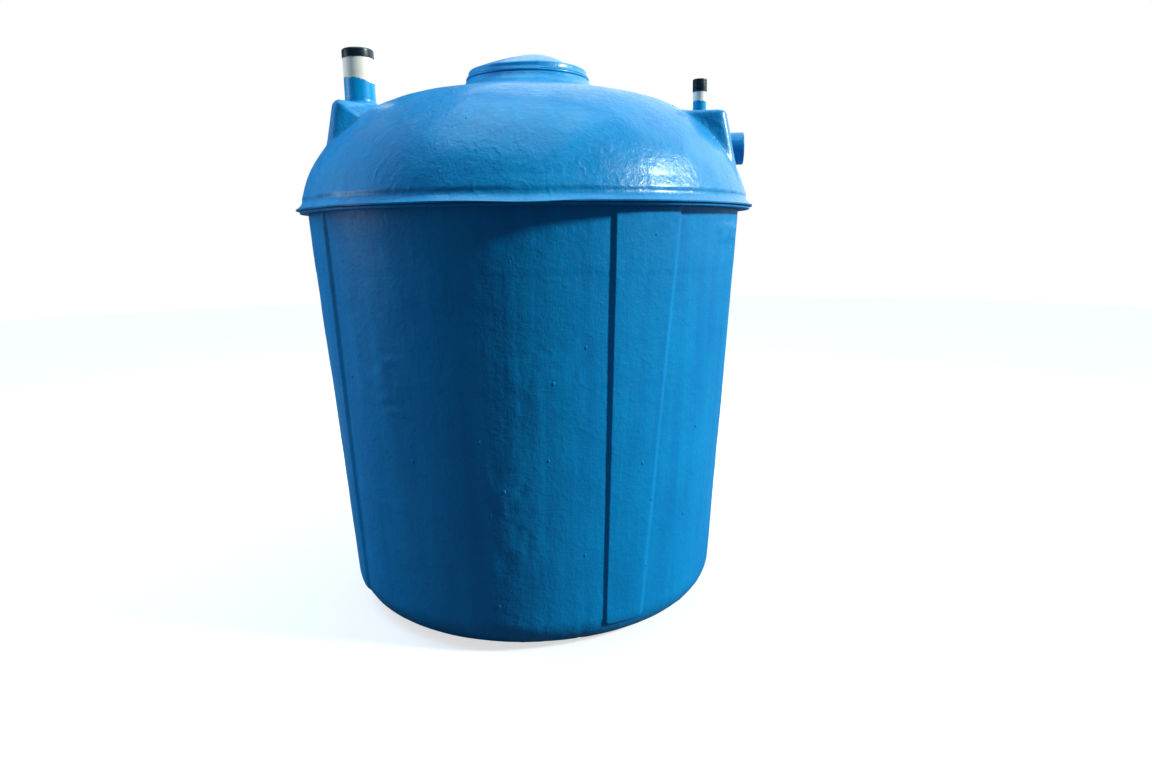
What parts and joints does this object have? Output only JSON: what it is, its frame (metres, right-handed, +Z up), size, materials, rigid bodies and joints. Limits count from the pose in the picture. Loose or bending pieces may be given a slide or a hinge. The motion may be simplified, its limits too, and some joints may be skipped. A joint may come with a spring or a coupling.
{
  "type": "bio septic tank",
  "caption": "Free-standing round fibreglass bio septic tank with ribbed tapered body, domed roof, sealed manhole and boxes for inlet, vent and outlet pipes.",
  "frame": {"origin": "middle of the flat underside of the tank", "axes": "+Z up, -Y towards the front seen in the picture, +X towards the outlet side"},
  "size_m": [1.6, 1.6, 1.919],
  "materials": {
    "body_paint": "hand-laid fibreglass with glossy blue paint, deep blue on the body",
    "dome_paint": "hand-laid fibreglass with glossy blue paint, mat grain showing through",
    "bare_pvc": "bare off-white PVC above a ragged edge of blue paint",
    "black_cap": "black plastic cap, satin"
  },
  "bodies": {
    "root": {"base_plate": "body_paint", "base_knuckle_1": "body_paint", "base_knuckle_2": "body_paint", "base_knuckle_3": "body_paint", "base_knuckle_4": "body_paint", "wall_panel_1": "body_paint", "wall_panel_2": "body_paint", "wall_panel_3": "body_paint", "wall_panel_4": "body_paint", "wall_rib_1": "body_paint", "wall_rib_2": "body_paint", "wall_rib_3": "body_paint", "wall_rib_4": "body_paint", "body_flange_1": "body_paint", "body_flange_2": "body_paint", "body_flange_3": "body_paint", "body_flange_4": "body_paint", "rim_lip_1": "dome_paint", "rim_lip_2": "dome_paint", "rim_lip_3": "dome_paint", "rim_lip_4": "dome_paint", "dome_shell_1": "dome_paint", "dome_shell_2": "dome_paint", "dome_shell_3": "dome_paint", "dome_shell_4": "dome_paint", "manhole_collar_1": "dome_paint", "manhole_collar_2": "dome_paint", "manhole_collar_3": "dome_paint", "manhole_collar_4": "dome_paint", "manhole_lid": "dome_paint", "inlet_box": "dome_paint", "outlet_box": "dome_paint", "riser_pipe": "bare_pvc", "riser_base_ring": "dome_paint", "riser_cap": "black_cap", "vent_pipe": "bare_pvc", "vent_base_ring": "dome_paint", "vent_cap": "black_cap", "outlet_stub": "dome_paint"}
  },
  "joints": []
}
